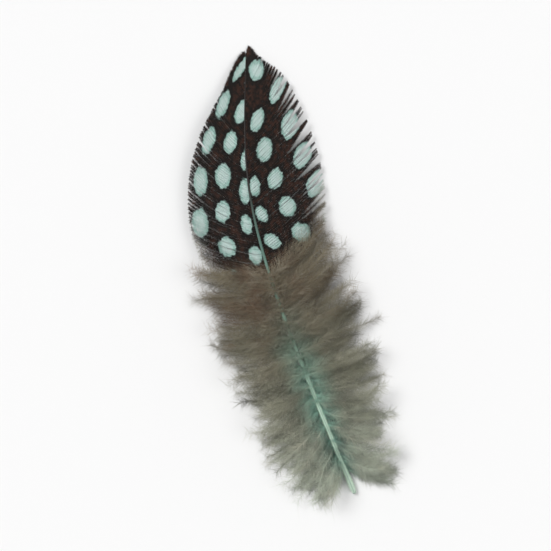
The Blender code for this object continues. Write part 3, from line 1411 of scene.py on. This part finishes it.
    def _rami(self, paths: np.ndarray, share: np.ndarray) -> Growth:
        """The barbs' own thin shafts.

        Args:
            paths: The barbs' ways.
            share: How far up the down each barb's root is, 0 to 1.

        Returns:
            The thin shafts.
        """
        along = np.linspace(0, 1, self.steps + 1)
        half = np.broadcast_to(self.barb_half * (1 - self.barb_taper * along), paths.shape[:2])
        places = np.broadcast_to(along * self.pattern_span + self.pattern_start, paths.shape[:2])
        pattern = np.stack([places, np.broadcast_to(share[:, None], paths.shape[:2])], axis=-1)
        level, strand = np.broadcast_to(UP, paths.shape), Strand(self.steps + 1)
        return Growth.along(strand, paths, level, half, half, pattern, np.array([0.0, self.barb_pattern]))

    def _barbules(self, paths: np.ndarray, share: np.ndarray, rng: np.random.Generator) -> Growth:
        """The barbules along both sides of every barb.

        Args:
            paths: The barbs' ways.
            share: How far up the down each barb's root is, 0 to 1.
            rng: The source of chance.

        Returns:
            The barbules.
        """
        lengths = np.linalg.norm(np.diff(paths, axis=1), axis=-1).sum(axis=1)
        row, place = spaced((lengths / self.barbule_spacing).astype(int))
        place = 1 - (1 - place) ** self.barbule_crowding
        row, place = np.tile(row, 2), np.tile(place, 2)
        hand = np.repeat([-1.0, 1.0], len(row) // 2)
        total = len(row)
        place = np.clip(place + rng.normal(0, self.place_scatter, total), 0, 1)
        point, ahead = read_along(paths, row, place), ahead_along(paths, row, place, by=0.05)
        across, upward = beside(ahead, UP)
        roll = rng.normal(0, self.roll_scatter, total)
        roll = roll + rng.uniform(-self.barb_roll, self.barb_roll, len(paths))[row]
        outward = across * (np.cos(roll) * hand)[:, None] + upward * np.sin(roll)[:, None]
        angle = rng.normal(self.barbule_angle, self.barbule_scatter, total) - self.barbule_closing * place**2
        angle = np.radians(angle)
        heading = ahead * np.cos(angle)[:, None] + outward * np.sin(angle)[:, None]
        length = self._lengths(point, heading, place, share[row], rng)[:, None]
        fraction = np.linspace(0, 1, self.barbule_stations)
        cover = self.covering * ramp(place, *self.covering_reach) * ramp(share[row], *self.covering_from)
        cover = cover[:, None]
        loose = rng.normal(0, self.cover_scatter, (total, 3)) + UP * self.cover_rise
        heading = unit(heading + loose * cover)
        bend = ahead * between(self.bend_ahead, place)[:, None] - UP * self.sag
        bend = bend + rng.normal(0, self.bend_scatter, (total, 3)) * (1 + self.cover_bend * cover)
        ways = point[:, None] + heading[:, None] * (length * fraction)[..., None]
        ways = ways + bend[:, None] * (length * self.bend * fraction**2)[..., None]
        half = between(self.barbule_half, place)[:, None] * (1 - self.barbule_taper * fraction)
        first = place[:, None] * self.pattern_span + self.pattern_start + fraction * self.pattern_reach
        second = share[row][:, None] + hand[:, None] * fraction * self.pattern_aside
        pattern = np.clip(np.stack([first, second], axis=-1), 0, 1)
        level, strand = np.broadcast_to(UP, ways.shape), Strand(self.barbule_stations)
        return Growth.along(strand, ways, level, half, half, pattern, np.array([0.0, self.barbule_pattern]))

    def _lengths(
        self,
        point: np.ndarray,
        heading: np.ndarray,
        place: np.ndarray,
        share: np.ndarray,
        rng: np.random.Generator,
    ) -> np.ndarray:
        """How long the barbules are. Those that would lie over the bare quill are shorter.

        Args:
            point: Where each barbule starts.
            heading: Which way it grows.
            place: How far along its barb it grows.
            share: How far up the down the barb's root is, 0 to 1.
            rng: The source of chance.

        Returns:
            The lengths in millimetres.
        """
        length = self.barbule_length * between((self.root_length, 1.0), ramp(place, *self.root_part))
        length = length * between((1.0, self.outer_length), ramp(place, *self.outer_part))
        length = length * np.clip(1 + self.barbule_spread * rng.normal(size=len(place)), *self.spread_limits)
        length = length * between((1.0, self.end_length), ramp(place, *self.end_part))
        gap = PATH.gap(point)
        inward = PATH.gap(point + heading * self.clear_of_quill) < gap
        room = np.minimum(length, np.maximum(gap - self.clear_of_quill, self.clear_of_quill))
        return length + np.where(inward, room - length, 0.0) * ramp(share, *self.clearing)


# The studio.


@dataclass(frozen=True)
class Sun:
    """A soft light from far away, as from a wide window.

    It shines from the side that its place shows as a vector from the feather. Its spread is how wide
    it looks in degrees, and its strength how strongly it lights a surface that faces it.
    """

    name: str
    place: tuple[float, float, float]
    spread: float
    strength: float

    def build(self) -> None:
        """Adds the light to the scene."""
        light = bpy.data.lights.new(self.name, "SUN")
        light.angle = math.radians(self.spread)
        light.energy = self.strength
        lamp = bpy.data.objects.new(self.name, light)
        lamp.location = Vector(self.place) * MM
        lamp.rotation_euler = (-Vector(self.place)).to_track_quat("-Z", "Y").to_euler()
        bpy.context.scene.collection.objects.link(lamp)


@dataclass(frozen=True)
class Studio:
    """The pale table, the soft lights and the camera that looks straight down."""

    suns: tuple[Sun, ...] = (
        Sun("key", (-260.0, 240.0, 420.0), 31.0, 2.28),
        Sun("fill", (320.0, -120.0, 380.0), 41.0, 0.85),
    )
    lean: float = 12.9
    frame_height: float = 88.0
    lens: float = 85.0
    sensor: float = 36.0
    table_side: float = 6000.0
    table_colour: tuple[float, float, float, float] = (0.9, 0.9, 0.9, 1.0)
    horizon: float = 0.45
    pale: float = 0.97
    dim: float = 0.28

    def build(self) -> None:
        """Sets up table, lights, sky and camera."""
        self._table()
        for sun in self.suns:
            sun.build()
        self._sky()
        bpy.context.scene.view_settings.view_transform = "Standard"
        self._camera()

    def _sky(self) -> None:
        """An even sky that is as pale as the table at the horizon and dimmer overhead."""
        world = bpy.data.worlds.new("studio")
        world.use_nodes = True
        nodes, links = world.node_tree.nodes, world.node_tree.links
        direction = nodes.new("ShaderNodeSeparateXYZ")
        links.new(nodes.new("ShaderNodeTexCoord").outputs["Generated"], direction.inputs["Vector"])
        height = nodes.new("ShaderNodeMapRange")
        height.interpolation_type = "SMOOTHSTEP"
        links.new(direction.outputs["Z"], height.inputs["Value"])
        sockets = {"From Min": 0.0, "From Max": self.horizon, "To Min": self.pale, "To Max": self.dim}
        for name, value in sockets.items():
            height.inputs[name].default_value = value
        background = nodes["Background"]
        background.inputs["Color"].default_value = (1.0, 1.0, 1.0, 1.0)
        links.new(height.outputs["Result"], background.inputs["Strength"])
        bpy.context.scene.world = world

    def _table(self) -> None:
        """A plain pale table top."""
        bm = bmesh.new()
        bmesh.ops.create_grid(bm, x_segments=1, y_segments=1, size=self.table_side / 2 * MM)
        mesh = bpy.data.meshes.new("table")
        bm.to_mesh(mesh)
        bm.free()
        table = bpy.data.objects.new("table", mesh)
        bpy.context.scene.collection.objects.link(table)
        sheet = Sheet("table")
        sheet.fix(Base_Color=self.table_colour, Roughness=0.9, Specular_IOR_Level=0.1)
        mesh.materials.append(sheet.material)

    def _camera(self) -> None:
        """A camera straight above, turned so that the feather leans as it does in the photograph."""
        camera = bpy.data.cameras.new("camera")
        camera.lens = self.lens
        camera.sensor_width = self.sensor
        camera.clip_start = 0.01
        eye = bpy.data.objects.new("camera", camera)
        middle = (Vector(CAD_BOX[0]) + Vector(CAD_BOX[1])) / 2
        eye.location = (middle.x, middle.y, self.frame_height * MM * self.lens / self.sensor)
        eye.rotation_euler = (0.0, 0.0, math.radians(-self.lean))
        bpy.context.scene.collection.objects.link(eye)
        bpy.context.scene.camera = eye


def build_vanes() -> None:
    """Builds both sides of the vane. The right one is wider and more parted."""
    Vane(
        side=Side.LEFT,
        finish=VaneFinish("spotted_vane_left", LEFT_SPOTS),
        longest=12.1,
        rise=0.42,
        fall=1.27,
        base_angle=63.0,
        tip_angle=22.0,
        group_rows=6,
        clumping=0.12,
        gathering=0.05,
        seed=11,
        tip_cut=-0.3,
    ).build()
    Vane(
        side=Side.RIGHT,
        finish=VaneFinish("spotted_vane_right", RIGHT_SPOTS),
        longest=14.6,
        rise=0.5,
        fall=0.95,
        base_angle=66.0,
        tip_angle=16.0,
        group_rows=5,
        clumping=0.6,
        gathering=0.11,
        seed=15,
        tip_cut=0.26,
    ).build()


def build_down(side: Side, brown: float) -> None:
    """Builds both layers of down on one side.

    Args:
        side: The side of the shaft.
        brown: How brown its patches by the vane are, 0 to 1.
    """
    name = f"down_{side.name.lower()}"
    # The lower layer's finish carries painted shade, darker as if shaded by the layer above.
    below = DownFinish(f"{name}_below", brown, shade=0.15)
    above = DownFinish(f"{name}_above", brown, shade=0.0)
    Down(side, Layer.LOWER, below, 30 + side.value, barbule_spacing=0.045, barbule_stations=2).build()
    Down(side, Layer.UPPER, above, 40 + side.value, barbule_spacing=0.105, crossing=0.4, covering=1.4).build()


def main() -> None:
    """Builds the feather piece by piece, then the studio."""
    logging.basicConfig(level=logging.INFO, format="%(name)s %(message)s")
    Shaft(ShaftFinish("horn")).build()
    build_vanes()
    build_down(Side.LEFT, brown=0.9)
    build_down(Side.RIGHT, brown=0.5)
    Studio().build()


if __name__ == "__main__":
    main()
